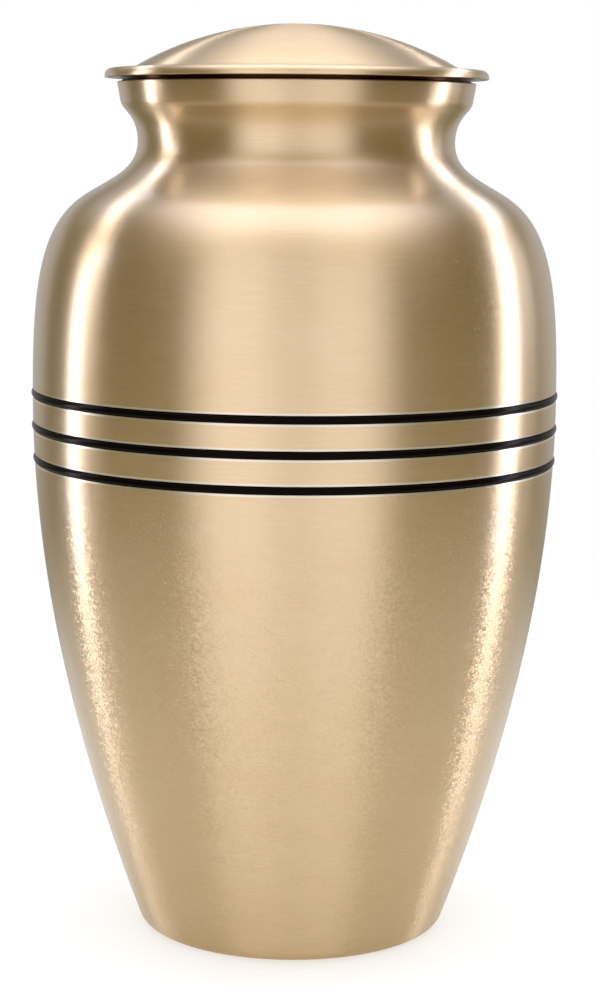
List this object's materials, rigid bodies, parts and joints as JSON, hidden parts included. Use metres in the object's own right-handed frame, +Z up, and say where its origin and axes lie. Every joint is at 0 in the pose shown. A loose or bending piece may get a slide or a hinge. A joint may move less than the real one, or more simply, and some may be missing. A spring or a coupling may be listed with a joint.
{
  "type": "cremation urn",
  "caption": "Spun brass cremation urn: a hollow, shouldered vessel that tapers to a small foot, with a flared collar, black bands round the belly and a lift-off domed lid.",
  "frame": {"origin": "centre of the underside, on the surface that the urn stands on", "axes": "+Z up along the axis that every piece is turned about; +Y away from the picture's camera, +X to its right"},
  "size_m": [0.1528, 0.1528, 0.2637],
  "materials": {
    "body_brass": "spun and finely brushed round the axis, satin, pale lacquered brass",
    "lid_brass": "spun and finely brushed round the axis, satin, pale lacquered brass",
    "band_enamel": "glossy black enamel"
  },
  "bodies": {
    "root": {"urn_body": "body_brass", "lid": "lid_brass", "black_band_lower": "band_enamel", "black_band_middle": "band_enamel", "black_band_upper": "band_enamel"}
  },
  "joints": []
}
